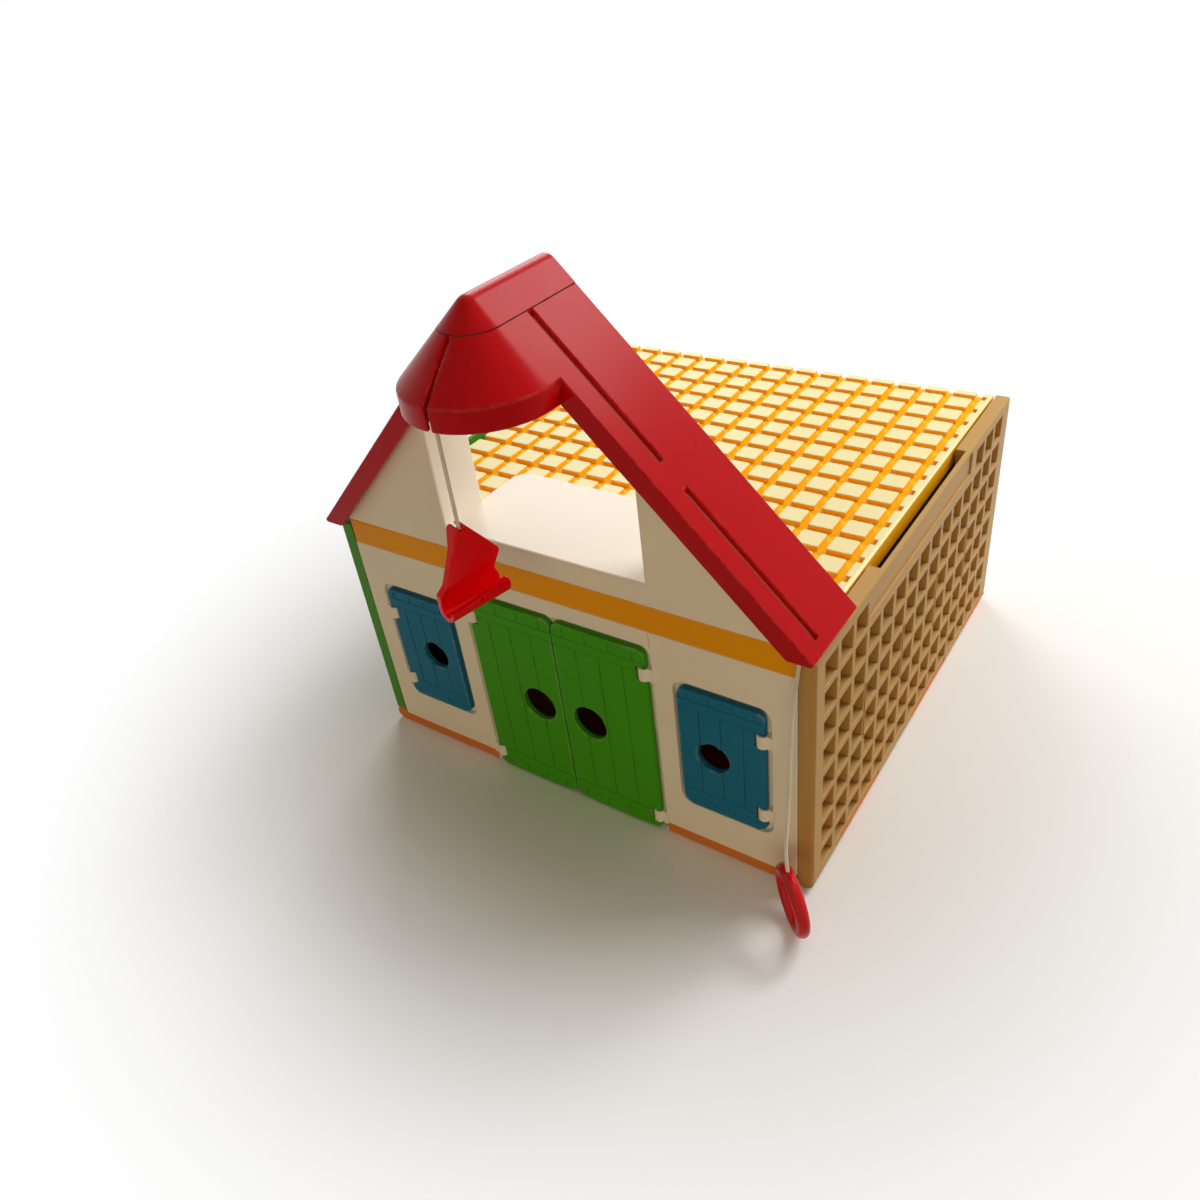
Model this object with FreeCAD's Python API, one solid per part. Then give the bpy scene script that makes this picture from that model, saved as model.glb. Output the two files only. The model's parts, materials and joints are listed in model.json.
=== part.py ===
import FreeCAD, Part
import math
import os

# Toy barn with fold-down sides, swinging doors and shutters, a loft deck and a hay hoist.
# Millimetres, +Z up. The origin is the centre of the underside, and the front faces -Y.

V = FreeCAD.Vector
os.makedirs("parts", exist_ok=True)

# Overall sizes
barn_width = 300.0
barn_depth = 290.0
flap_top = 154.0

# Clearances
swing_gap = 0.3
pin_clearance = 0.06
seam_gap = 0.2
floor_gap = 0.2
overrun = 2.0

# Base tray
floor_thickness = 3.0
rim_height = 7.0
wall_thickness = 5.0

# Fold-down side flaps, the same moulding on both sides
flap_thickness = 8.7
flap_edge_round = 1.5
hinge_radius = 4.5
hinge_pin_radius = 2.2
hinge_pin_length = 6.0
bore_end_gap = 0.5
knuckle_gap = 0.4
knuckle_shares = [(0.0, 0.1276), (0.3121, 0.5), (0.7069, 0.869)]
pocket_size = 14.0
pocket_pitch = 18.0
pocket_depth = 6.7
lattice_margin = 10.0
lattice_top_margin = 6.4
lattice_foot = 10.2
flap_foot = 8.0
grip_start = 63.0
grip_end = 217.0
grip_drop = 17.0
grip_lip = 2.0
grip_depth = 1.2
notch_start = 81.5
notch_end = 212.0
notch_depth = 5.6
rib_slit_width = 1.5
rib_slit_depth = 3.0
rib_slit_bottom = 57.0
rib_slit_top = 96.0
rib_slit_first = 2
rib_slit_every = 3

# Front wall. The doors and shutters share the width that its posts leave.
side_post = 16.0
middle_post = 16.7
door_share = 0.5476
bay_reveal = 2.7
bay_groove = 1.0
recess_depth = 3.0
recess_margin = 2.6
frame_lap = 5.0
recess_corner = 6.6

# Door and shutter leaves
leaf_thickness = 4.2
leaf_corner = 5.0
plank_groove_width = 0.9
plank_groove_depth = 0.5
batten_line_width = 0.6
batten_line_depth = 0.3
batten_height = 6.0
board_margin = 2.0
door_meeting_gap = 0.4
door_foot = 0.6
door_top = 130.0
door_hole_share = 0.2968
door_hole_z = 64.5
door_hole_radius = 11.0
door_clip_heights = [11.0, 115.0]
door_rail = 14.0
door_planks = 4
shutter_foot = 33.5
shutter_top = 114.6
shutter_hole_share = 0.392
shutter_hole_z = 73.0
shutter_hole_radius = 9.25
shutter_clip_heights = [46.0, 97.0]
shutter_rail = 12.0
shutter_planks = 4
leaf_pin_radius = 1.8
clip_height = 8.0
clip_wall = 1.5
clip_gap = 0.4
strap_proud = 0.9

# Loft deck with its front band
band_bottom = 142.5
band_top = 158.2
deck_inset = 1.0
deck_skin = 3.0
deck_skirt = 3.0
pad_pitch = 18.0
pad_groove_width = 4.4
pad_groove_depth = 3.0
pad_edge_strip = 8.0
pad_back_strip = 8.0
pad_edge_notch = 5.0

# Gable frame and loft shelf
gable_depth = 31.4
gable_wall = 2.5
sill_top = 171.0
window_half = 62.7
rafter_thickness = 4.0
window_edge_round = 2.0
shelf_half_width = 64.0
shelf_back = 68.0
shelf_top_skin = 3.0
shelf_skirt = 2.5
shelf_corner = 10.0

# Roof halves, hood and ridge cap
roof_slope = 45.0
roof_skin = 3.0
fascia_depth = 10.2
fascia_thickness = 3.0
roof_front = 8.0
roof_back = 40.2
eave_overhang = 2.2
eave_gap = 3.8
eave_chamfer = 1.6
slit_width = 3.0
slit_front = 4.0
slit_under_cap = 0.6
slit_upper_length = 60.6
slit_spacing = 11.0
slit_end_margin = 5.0
cap_half_width = 15.0
cap_round = 6.5
hood_radius = 37.5
hood_reach = 15.0
hood_rim_height = 11.0
hood_wall = 2.5
hood_slit_half = 1.1

# Hoist: cord, guide peg, hook and pull ring
cord_diameter = 2.0
cord_fit = 0.1
cord_arc_share = 0.45
cord_room = 1.6
peg_radius = 5.0
peg_rise = 5.9
peg_stub_radius = 2.0
peg_half_length = 5.2
rib_thickness = 3.0
rib_half_depth = 5.0
rib_drop = 5.0
eave_peg_radius = 2.5
eave_peg_inset = 12.7
eave_peg_rise = 1.05
hook_drop = 48.4
hook_tilt = 5.0
hook_yaw = 13.2
hook_web = 3.6
hook_head_rise = 1.0
hook_head_thickness = 8.4
hook_head_taper = 10.0
hook_head_half = 2.5
hook_head_round = 1.8
hook_wing_reach = 19.4
hook_wing_drop = 20.5
hook_wing_round = 2.5
hook_waist_reach = 14.7
hook_waist_drop = 29.0
hook_waist_round = 3.5
hook_neck_reach = 13.0
hook_neck_drop = 26.0
hook_trough_half = 17.0
hook_near_end_drop = 29.5
hook_far_end_drop = 34.5
hook_height = 42.0
hook_trough_gap = 6.4
hook_lip_thickness = 2.2
hook_lip_near_rise = 0.3
hook_lip_far_rise = 5.0
hook_lip_hole = 1.1
hook_lip_hole_rise = 0.5
hook_slot_width = 2.3
hook_knot_drop = 3.0
knot_radius = 2.3
knot_room = 0.3
knot_cover = 1.2
ring_radius = 15.6
ring_tube_radius = 3.4
ring_x = 149.2
ring_y = 23.2
ring_yaw = 44.8
ring_tilt = 3.9
ring_cord_angle = 10.0
ring_knot_gap = 0.2

# Places worked out from the sizes above
front_y = -barn_depth / 2
back_y = barn_depth / 2
flap_outer_x = barn_width / 2
flap_inner_x = flap_outer_x - flap_thickness
body_half = flap_inner_x - swing_gap
hinge_x = flap_outer_x - hinge_radius
hinge_z = hinge_radius + floor_gap
base_half = hinge_x - hinge_radius - knuckle_gap
knuckle_spans = [(barn_depth * first, barn_depth * last) for first, last in knuckle_shares]
deck_half = body_half - deck_inset
door_half_width = door_share * (body_half - side_post - middle_post)
door_bay_half = door_half_width + bay_reveal
door_hole_x = door_hole_share * door_half_width
shutter_inner_x = door_half_width + middle_post
shutter_outer_x = body_half - side_post
shutter_hole_x = shutter_inner_x + shutter_hole_share * (shutter_outer_x - shutter_inner_x)
leaf_back_y = front_y + recess_depth - swing_gap
leaf_front_y = leaf_back_y - leaf_thickness
leaf_axis_y = leaf_back_y - leaf_thickness / 2
roof_tan = math.tan(math.radians(roof_slope))
roof_cos = math.cos(math.radians(roof_slope))
eave_bottom = flap_top + eave_gap
eave_tip_x = flap_outer_x + eave_overhang
eave_tip_z = eave_bottom + eave_chamfer
roof_apex_z = eave_tip_z + eave_tip_x * roof_tan
roof_front_y = front_y - roof_front
roof_back_y = front_y + roof_back
hood_centre_y = front_y - hood_reach
hood_rim_top = roof_apex_z - hood_radius * roof_tan
hood_rim_bottom = hood_rim_top - hood_rim_height
gable_back_y = front_y + gable_depth
cord_drop_y = hood_centre_y - hood_radius + hood_wall + cord_room
peg_y = cord_drop_y + peg_radius + cord_diameter / 2 + cord_fit
peg_z = hood_rim_bottom + peg_rise
hook_slot_z = hood_rim_bottom - hook_drop
hook_front_x = hook_web / 2
hook_lip_x = hook_front_x + hook_trough_gap
hook_lip_outer_x = hook_lip_x + hook_lip_thickness
hook_outer_radius = (hook_lip_outer_x + hook_front_x) / 2
hook_trough_z = hook_outer_radius - hook_height

# The cord's route, chosen by hand: over the peg, down the right slope behind the fascia,
# out under the eave, and down to the ring that stands on the floor.
roof_run_points = [
    (0.0, -193.4, 264.0), (0.0, -193.4, 275.1), (1.5, -172.0, 275.4),
    (30.0, -147.4, 273.8), (143.5, -147.4, 160.3), (143.3, -148.4, 155.4)]
roof_run_radii = [6.1, 25.0, 12.0, 6.0]
ring_drop_points = [
    (143.3, -148.4, 155.4), (142.6, -152.0, 138.0), (142.6, -156.0, 112.0),
    (143.6, -159.6, 86.0), (144.1, -163.2, 62.0), (144.3, -166.0, 47.3), (146.5, -167.0, 34.6)]


def box(x0, x1, y0, y1, z0, z1):
    """A block between two corners."""
    return Part.makeBox(x1 - x0, y1 - y0, z1 - z0, V(x0, y0, z0))


def prism(points, y0, y1):
    """An outline of (x, z) points, extruded along Y."""
    corners = [V(x, y0, z) for x, z in points]
    face = Part.Face(Part.makePolygon(corners + corners[:1]))
    return face.extrude(V(0, y1 - y0, 0))


def rod_y(x, z, radius, y0, y1):
    """A round bar along Y."""
    return Part.makeCylinder(radius, y1 - y0, V(x, y0, z), V(0, 1, 0))


def rod_z(x, y, radius, z0, z1):
    """An upright round bar."""
    return Part.makeCylinder(radius, z1 - z0, V(x, y, z0), V(0, 0, 1))


def rounded_panel(x0, x1, z0, z1, y0, y1, corner):
    """An upright panel whose four corners are round when seen from the front."""
    panel = box(x0, x1, y0, y1, z0, z1)
    across = [e for e in panel.Edges if abs(e.tangentAt(e.FirstParameter).y) > roof_cos]
    return panel.makeFillet(corner, across)


def mirrored(shape):
    """The same piece on the left side."""
    return shape.mirror(V(0, 0, 0), V(1, 0, 0))


def half_turned(shape):
    """The same moulding turned round the upright axis to the other side."""
    turned = shape.copy()
    turned.rotate(V(0, 0, 0), V(0, 0, 1), math.degrees(math.pi))
    return turned


def roof_z(x, depth):
    """Height at x of the plane that lies a depth under the right slope's top."""
    return roof_apex_z - x * roof_tan - depth / roof_cos


def save(name, shape):
    """Write one piece, after merging faces that lie in one plane."""
    clean = shape.removeSplitter()
    solids = clean.Solids
    whole = solids[0] if len(solids) == 1 else Part.makeCompound(solids)
    whole.exportStep("parts/" + name + ".step")
    print(name, len(solids), "solid", round(whole.Volume), "mm3", whole.isValid())


# Base tray with hinge lugs

def lug_spans():
    """Stretches of the right edge that carry the base's lugs, between the flap's knuckles."""
    spans = []
    start = None
    for first, last in knuckle_spans:
        if start is not None:
            spans.append((start + knuckle_gap, first - knuckle_gap))
        start = last
    spans.append((start + knuckle_gap, barn_depth))
    return spans


def lug(first, last):
    """One rounded lug on the right edge, before its pin holes are bored."""
    y0 = front_y + first
    y1 = front_y + last
    barrel = rod_y(hinge_x, hinge_z, hinge_radius, y0, y1)
    web = box(base_half - wall_thickness, hinge_x, y0, y1, 0, hinge_z)
    return barrel.fuse(web)


def pin_places():
    """Every knuckle end that faces a lug, with the direction of its pin."""
    places = []
    for first, last in knuckle_spans:
        if first > 0:
            places.append((front_y + first, -1))
        places.append((front_y + last, 1))
    return places


def along_y(x, z, radius, start, direction, length):
    """A round bar from a start point, forwards or backwards along Y."""
    return Part.makeCylinder(radius, length, V(x, start, z), V(0, direction, 0))


def edge_lugs():
    """All lugs of the right edge with the bores for the flap's pins."""
    lugs = [lug(first, last) for first, last in lug_spans()]
    row = lugs[0].multiFuse(lugs[1:])
    depth = hinge_pin_length + bore_end_gap + knuckle_gap
    for start, direction in pin_places():
        radius = hinge_pin_radius + pin_clearance
        row = row.cut(along_y(hinge_x, hinge_z, radius, start, direction, depth))
    return row


def base_floor():
    tray = box(-base_half, base_half, front_y, back_y, 0, rim_height)
    inner = base_half - wall_thickness
    hollow = box(-inner, inner, front_y + wall_thickness, back_y - wall_thickness,
                 floor_thickness, rim_height + overrun)
    bay = door_bay_half + seam_gap
    doorway = box(-bay, bay, front_y - overrun, front_y + wall_thickness + seam_gap,
                  -overrun, rim_height + overrun)
    right = edge_lugs()
    return tray.multiFuse([right, half_turned(right)]).cut(hollow).cut(doorway)


# Fold-down flaps

def lattice_columns():
    """Front edges of the pocket columns, measured from the flap's front end."""
    count = int((barn_depth - lattice_margin - pocket_size) // pocket_pitch) + 1
    return [lattice_margin + i * pocket_pitch for i in range(count)]


def lattice_rows():
    """Tops of the pocket rows, from the top edge down."""
    first = flap_top - lattice_top_margin
    count = int((first - pocket_size / 2 - lattice_foot) // pocket_pitch) + 1
    return [first - i * pocket_pitch for i in range(count)]


def lattice_pockets():
    """The square pockets in the outer face, leaving room for the finger grip."""
    pockets = []
    x0 = flap_outer_x - pocket_depth
    for column in lattice_columns():
        for top in lattice_rows():
            in_grip = column + pocket_size > grip_start and column < grip_end
            if in_grip and top > flap_top - grip_drop:
                continue
            y0 = front_y + column
            bottom = max(top - pocket_size, lattice_foot)
            pockets.append(box(x0, flap_outer_x + overrun, y0, y0 + pocket_size, bottom, top))
    return Part.makeCompound(pockets)


def flap_right():
    slab = box(flap_inner_x, flap_outer_x, front_y, back_y, hinge_z, flap_top)
    rims = [e for e in slab.Edges if e.CenterOfMass.x > flap_outer_x - flap_edge_round
            and e.CenterOfMass.z > hinge_z + flap_edge_round]
    slab = slab.makeFillet(flap_edge_round, rims)
    for first, last in lug_spans():
        y0 = front_y + first - knuckle_gap
        y1 = front_y + last + knuckle_gap
        room = rod_y(hinge_x, hinge_z, hinge_radius + knuckle_gap, y0, y1)
        edge = box(hinge_x, flap_outer_x + overrun, y0, y1, 0, flap_foot)
        slab = slab.cut(room).cut(edge)
    for first, last in knuckle_spans:
        slab = slab.fuse(rod_y(hinge_x, hinge_z, hinge_radius, front_y + first, front_y + last))
    for start, direction in pin_places():
        slab = slab.fuse(along_y(hinge_x, hinge_z, hinge_pin_radius, start, direction,
                                 hinge_pin_length))
    cuts = [lattice_pockets()]
    cuts.append(box(flap_outer_x - grip_depth, flap_outer_x + overrun, front_y + grip_start,
                    front_y + grip_end, flap_top - grip_drop, flap_top - grip_lip))
    cuts.append(box(flap_inner_x - overrun, flap_inner_x + notch_depth, front_y + notch_start,
                    front_y + notch_end, flap_top - grip_drop, flap_top + overrun))
    for column in lattice_columns()[rib_slit_first:-1:rib_slit_every]:
        rib_y = front_y + column + pocket_size
        middle = rib_y + (pocket_pitch - pocket_size) / 2
        cuts.append(box(flap_outer_x - rib_slit_depth, flap_outer_x + overrun,
                        middle - rib_slit_width / 2, middle + rib_slit_width / 2,
                        rib_slit_bottom, rib_slit_top))
    for shape in cuts:
        slab = slab.cut(shape)
    return slab


# Door and shutter leaves. Each is described on the right side, with its hinge at the outer edge.

door = dict(inner=door_meeting_gap, outer=door_half_width, foot=door_foot, top=door_top,
            hole=(door_hole_x, door_hole_z, door_hole_radius), clips=door_clip_heights,
            rail=door_rail, planks=door_planks, sill=-overrun, mullion=0)
shutter = dict(inner=shutter_inner_x, outer=shutter_outer_x, foot=shutter_foot,
               top=shutter_top, hole=(shutter_hole_x, shutter_hole_z, shutter_hole_radius),
               clips=shutter_clip_heights, rail=shutter_rail, planks=shutter_planks,
               sill=shutter_foot + frame_lap, mullion=shutter_inner_x + frame_lap)


def axis_x(leaf):
    """Where a leaf's upright hinge axis stands."""
    return leaf["outer"] - leaf_thickness / 2


def clip_radius():
    """Outer radius of the wall's clips round the leaf pins."""
    return leaf_pin_radius + pin_clearance + clip_wall


def plank_grooves(leaf):
    """Shallow grooves: planks in the middle, short boards in the rails, and two faint lines
    along the batten that crosses each rail."""
    y0 = leaf_front_y - overrun
    low = leaf["foot"] + leaf["rail"]
    high = leaf["top"] - leaf["rail"]
    low_board = low - batten_height
    high_board = high + batten_height
    grooves = []
    half = batten_line_width / 2
    y1 = leaf_front_y + batten_line_depth
    for z in (low_board, low, high, high_board):
        grooves.append(box(leaf["inner"] - overrun, leaf["outer"] + overrun, y0, y1,
                           z - half, z + half))
    half = plank_groove_width / 2
    y1 = leaf_front_y + plank_groove_depth
    step = (leaf["outer"] - leaf["inner"]) / leaf["planks"]
    for i in range(1, leaf["planks"]):
        x = leaf["inner"] + i * step
        grooves.append(box(x - half, x + half, y0, y1, low, high))
    for i in range(leaf["planks"]):
        x = leaf["inner"] + i * step + step / 2
        grooves.append(box(x - half, x + half, y0, y1, high_board, leaf["top"] - board_margin))
        grooves.append(box(x - half, x + half, y0, y1, leaf["foot"] + board_margin, low_board))
    return Part.makeCompound(grooves)


def leaf_solid(leaf):
    """One leaf with its grooves, finger hole, hinge edge and pins."""
    x = axis_x(leaf)
    plate = box(leaf["inner"], x, leaf_front_y, leaf_back_y, leaf["foot"], leaf["top"])
    edge = rod_z(x, leaf_axis_y, leaf_thickness / 2, leaf["foot"], leaf["top"])
    outline = rounded_panel(leaf["inner"], leaf["outer"], leaf["foot"], leaf["top"],
                            leaf_front_y, leaf_back_y, leaf_corner)
    solid = plate.fuse(edge).common(outline).cut(plank_grooves(leaf))
    hole_x, hole_z, radius = leaf["hole"]
    solid = solid.cut(rod_y(hole_x, hole_z, radius, leaf_front_y - overrun,
                            leaf_back_y + overrun))
    for z in leaf["clips"]:
        half = clip_height / 2 + clip_gap
        reach = clip_radius() + clip_gap
        solid = solid.cut(box(x - reach, leaf["outer"] + overrun, leaf_front_y - overrun,
                              leaf_back_y + overrun, z - half, z + half))
        solid = solid.fuse(rod_z(x, leaf_axis_y, leaf_pin_radius, z - half, z + half))
    return solid


# Front wall

def leaf_recess(leaf):
    """The shallow pocket that a leaf lies in, larger than the leaf all round."""
    inner = leaf["inner"] - recess_margin
    foot = leaf["foot"] - recess_margin
    return rounded_panel(inner, leaf["outer"] + recess_margin, foot,
                         leaf["top"] + recess_margin, front_y - recess_depth,
                         front_y + recess_depth, recess_corner)


def leaf_opening(leaf):
    """The opening behind a leaf, smaller than the leaf where the wall frames it."""
    return box(leaf["mullion"], axis_x(leaf) - frame_lap, front_y - overrun,
               front_y + wall_thickness + overrun, leaf["sill"], leaf["top"] - frame_lap)


def leaf_clips(leaf):
    """The straps that hold a leaf's pins to the wall."""
    x = axis_x(leaf)
    straps = []
    for z in leaf["clips"]:
        z0 = z - clip_height / 2
        z1 = z + clip_height / 2
        barrel = rod_z(x, leaf_axis_y, clip_radius(), z0, z1)
        strap = box(x, leaf["outer"] + recess_margin + clip_wall, front_y - strap_proud,
                    front_y + recess_depth, z0, z1)
        foot = box(x - leaf_pin_radius, x + leaf_pin_radius, leaf_axis_y,
                   front_y + recess_depth, z0, z1)
        bore = rod_z(x, leaf_axis_y, leaf_pin_radius + pin_clearance, z0 - overrun, z1 + overrun)
        straps.append(barrel.fuse(strap).fuse(foot).cut(bore))
    return straps


def front_wall():
    wall = box(-body_half, body_half, front_y, front_y + wall_thickness, rim_height, band_bottom)
    posts = box(-door_bay_half, door_bay_half, front_y, front_y + wall_thickness,
                floor_gap, rim_height)
    wall = wall.fuse(posts)
    for leaf in (door, shutter):
        for cut in (leaf_recess(leaf), leaf_opening(leaf)):
            wall = wall.cut(cut).cut(mirrored(cut))
    for x in (-door_bay_half, door_bay_half):
        wall = wall.cut(box(x - bay_groove / 2, x + bay_groove / 2, front_y - overrun,
                            front_y + bay_groove, door_top + recess_margin,
                            band_bottom + overrun))
    for leaf in (door, shutter):
        for strap in leaf_clips(leaf):
            wall = wall.fuse(strap).fuse(mirrored(strap))
    return wall


def back_wall():
    wall = box(-body_half, body_half, back_y - wall_thickness, back_y, rim_height, band_bottom)
    panel = rounded_panel(-body_half + door_rail, body_half - door_rail, rim_height + door_rail,
                          band_bottom - door_rail, back_y - recess_depth,
                          back_y + recess_depth, recess_corner)
    return wall.cut(panel)


# Loft deck

def pad_grooves():
    """Crossing grooves that leave the deck's raised square pads."""
    z0 = flap_top - pad_groove_depth
    z1 = flap_top + overrun
    half = pad_groove_width / 2
    grooves = []
    x = deck_half - pad_edge_strip
    while x > -deck_half + half:
        grooves.append(box(x - half, x + half, gable_back_y, back_y + overrun, z0, z1))
        x -= pad_pitch
    y = back_y - pad_back_strip
    while y > gable_back_y + half:
        grooves.append(box(-deck_half - overrun, deck_half - pad_edge_strip + pad_edge_notch,
                           y - half, y + half, z0, z1))
        y -= pad_pitch
    return Part.makeCompound(grooves)


def deck():
    body = box(-deck_half, deck_half, front_y, back_y, band_bottom, flap_top)
    body = body.cut(pad_grooves())
    band = box(-body_half, body_half, front_y, gable_back_y, band_bottom, band_top)
    under = flap_top - pad_groove_depth - deck_skin
    hollow = box(-deck_half + deck_skirt, deck_half - deck_skirt, front_y + wall_thickness,
                 back_y - wall_thickness, band_bottom - overrun, under)
    return body.fuse(band).cut(hollow)


# Gable frame and loft shelf

def gable_frame():
    edge_z = roof_z(body_half, roof_skin)
    outline = [(-body_half, band_top), (body_half, band_top), (body_half, edge_z),
               (0, roof_z(0, roof_skin)), (-body_half, edge_z)]
    frame = prism(outline, front_y, gable_back_y)
    inner = roof_skin + rafter_thickness
    jamb_z = roof_z(window_half, inner)
    window = [(-window_half, sill_top), (window_half, sill_top), (window_half, jamb_z),
              (0, roof_z(0, inner)), (-window_half, jamb_z)]
    frame = frame.cut(prism(window, front_y - overrun, gable_back_y + overrun))
    rims = []
    for edge in frame.Edges:
        centre = edge.CenterOfMass
        on_front = abs(centre.y - front_y) < seam_gap
        on_jamb = abs(abs(centre.x) - window_half) < seam_gap
        on_sill = abs(centre.z - sill_top) < seam_gap and abs(centre.x) < seam_gap
        if on_front and (on_jamb or on_sill):
            rims.append(edge)
    frame = frame.makeFillet(window_edge_round, rims)
    x0 = window_half + gable_wall
    x1 = body_half - gable_wall
    foot = band_top + gable_wall
    cheek = [(x0, foot), (x1, foot), (x1, roof_z(x1, inner)), (x0, roof_z(x0, inner))]
    hollow = prism(cheek, front_y + gable_wall, gable_back_y + overrun)
    under_sill = box(-window_half, window_half, front_y + gable_wall, gable_back_y + overrun,
                     foot, sill_top - gable_wall)
    return frame.cut(hollow).cut(mirrored(hollow)).cut(under_sill)


def loft_shelf():
    y1 = front_y + shelf_back
    block = box(-shelf_half_width, shelf_half_width, gable_back_y, y1, flap_top, sill_top)
    corners = [e for e in block.Edges if abs(e.CenterOfMass.y - y1) < seam_gap
               and abs(e.tangentAt(e.FirstParameter).z) > roof_cos]
    block = block.makeFillet(shelf_corner, corners)
    hollow = box(-shelf_half_width + shelf_skirt, shelf_half_width - shelf_skirt,
                 gable_back_y + shelf_skirt, y1 - shelf_skirt, flap_top - overrun,
                 sill_top - shelf_top_skin)
    rounds = [e for e in hollow.Edges if abs(e.CenterOfMass.y - y1 + shelf_skirt) < seam_gap
              and abs(e.tangentAt(e.FirstParameter).z) > roof_cos]
    return block.cut(hollow.makeFillet(shelf_corner - shelf_skirt, rounds))


# Roof

def turned_profile(points, angle):
    """An (x, z) outline swung round the hood's upright axis, from +X towards the front."""
    corners = [V(x, hood_centre_y, z) for x, z in points]
    face = Part.Face(Part.makePolygon(corners + corners[:1]))
    return face.revolve(V(0, hood_centre_y, 0), V(0, 0, 1), -angle)


def hood_profile(wall):
    """The hood's outline from the cap's seam to the rim, at full size or inside its wall."""
    if wall:
        return [(cap_half_width, roof_z(cap_half_width, 0)), (hood_radius, hood_rim_top),
                (hood_radius, hood_rim_bottom), (hood_radius - hood_wall, hood_rim_bottom),
                (hood_radius - hood_wall, roof_z(hood_radius - hood_wall, roof_skin)),
                (cap_half_width, roof_z(cap_half_width, roof_skin))]
    return [(0, hood_rim_bottom), (hood_radius, hood_rim_bottom), (hood_radius, hood_rim_top),
            (0, roof_apex_z)]


def slope_outline(start, depth):
    """The right slope's section from x = start to the eave, a depth thick."""
    under_x = (roof_apex_z - depth / roof_cos - eave_bottom) / roof_tan
    return [(start, roof_z(start, 0)), (eave_tip_x, eave_tip_z),
            (eave_tip_x - eave_chamfer / roof_tan, eave_bottom), (under_x, eave_bottom),
            (start, roof_z(start, depth))]


def slope_slits():
    """The two long slits through the slope behind its front edge."""
    y0 = front_y + slit_front
    y1 = y0 + slit_width
    first = cap_half_width - slit_under_cap
    second = first + slit_upper_length + slit_spacing
    spans = [(first, first + slit_upper_length), (second, eave_tip_x - slit_end_margin)]
    cuts = []
    for x0, x1 in spans:
        outline = [(x0, roof_z(x0, -overrun)), (x1, roof_z(x1, -overrun)),
                   (x1, roof_z(x1, roof_skin + overrun)), (x0, roof_z(x0, roof_skin + overrun))]
        cuts.append(prism(outline, y0, y1))
    return cuts


def peg_rib():
    """The rib inside the right half of the hood that holds the guide peg."""
    x0 = peg_half_length + seam_gap
    block = box(x0, x0 + rib_thickness, peg_y - rib_half_depth, peg_y + rib_half_depth,
                peg_z - rib_drop, roof_apex_z)
    block = block.common(turned_profile(hood_profile(False), 90))
    bore = Part.makeCylinder(peg_stub_radius + pin_clearance, barn_width,
                             V(0, peg_y, peg_z), V(1, 0, 0))
    return block.cut(bore)


def roof_half():
    """The right half of the roof with its half of the hood."""
    strip = prism(slope_outline(cap_half_width, roof_skin), roof_front_y, roof_back_y)
    for cut in slope_slits():
        strip = strip.cut(cut)
    front = prism(slope_outline(hood_radius - hood_wall, fascia_depth), roof_front_y,
                  roof_front_y + fascia_thickness)
    back = prism(slope_outline(cap_half_width, fascia_depth), roof_back_y - fascia_thickness,
                 roof_back_y)
    sides = prism(hood_profile(True), hood_centre_y, roof_front_y)
    nose = turned_profile(hood_profile(True), 90)
    half = strip.multiFuse([front, back, sides, nose, peg_rib()])
    gap = box(-hood_radius, hood_slit_half, hood_centre_y - barn_depth, hood_centre_y,
              0, roof_apex_z)
    return half.cut(gap)


def eave_peg():
    """The small peg behind the fascia that the cord bends over on its way out under the eave."""
    return rod_y(eave_tip_x - eave_peg_inset, eave_bottom + eave_peg_rise, eave_peg_radius,
                 roof_front_y + fascia_thickness, front_y - swing_gap)


def roof_right():
    return roof_half().fuse(eave_peg())


def roof_left():
    return mirrored(roof_half())


def cap_solid(depth, foot_drop):
    """The ridge's section run along the roof and swung round the front end."""
    x = cap_half_width - seam_gap
    low = roof_z(x, roof_skin) - foot_drop
    start = hood_centre_y
    if depth > 0:
        edges = [(0, low), (x, low), (x, roof_z(x, depth)), (0, roof_z(0, depth))]
        corners = [V(a, start, b) for a, b in edges]
        face = Part.Face(Part.makePolygon(corners + corners[:1]))
    else:
        middle = roof_apex_z - cap_round / roof_cos
        side = cap_round * roof_cos
        lean = math.radians(roof_slope / 2)
        top = V(0, start, middle + cap_round)
        halfway = V(cap_round * math.sin(lean), start, middle + cap_round * math.cos(lean))
        join = V(side, start, middle + side)
        arc = Part.Arc(top, halfway, join).toShape()
        rest = [join, V(x, start, roof_z(x, 0)), V(x, start, low), V(0, start, low), top]
        lines = [Part.makeLine(a, b) for a, b in zip(rest, rest[1:])]
        face = Part.Face(Part.Wire([arc] + lines))
    run = face.extrude(V(0, roof_back_y - start, 0))
    nose = face.revolve(V(0, start, 0), V(0, 0, 1), -180)
    return run.fuse(mirrored(run)).fuse(nose)


def ridge_cap():
    return cap_solid(0, 0).cut(cap_solid(roof_skin, overrun))


# Hoist

def hoist_peg():
    drum = Part.makeCylinder(peg_radius, 2 * peg_half_length, V(-peg_half_length, peg_y, peg_z),
                             V(1, 0, 0))
    reach = peg_half_length + seam_gap + rib_thickness
    return drum.fuse(Part.makeCylinder(peg_stub_radius, 2 * reach, V(-reach, peg_y, peg_z),
                                       V(1, 0, 0)))


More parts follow.
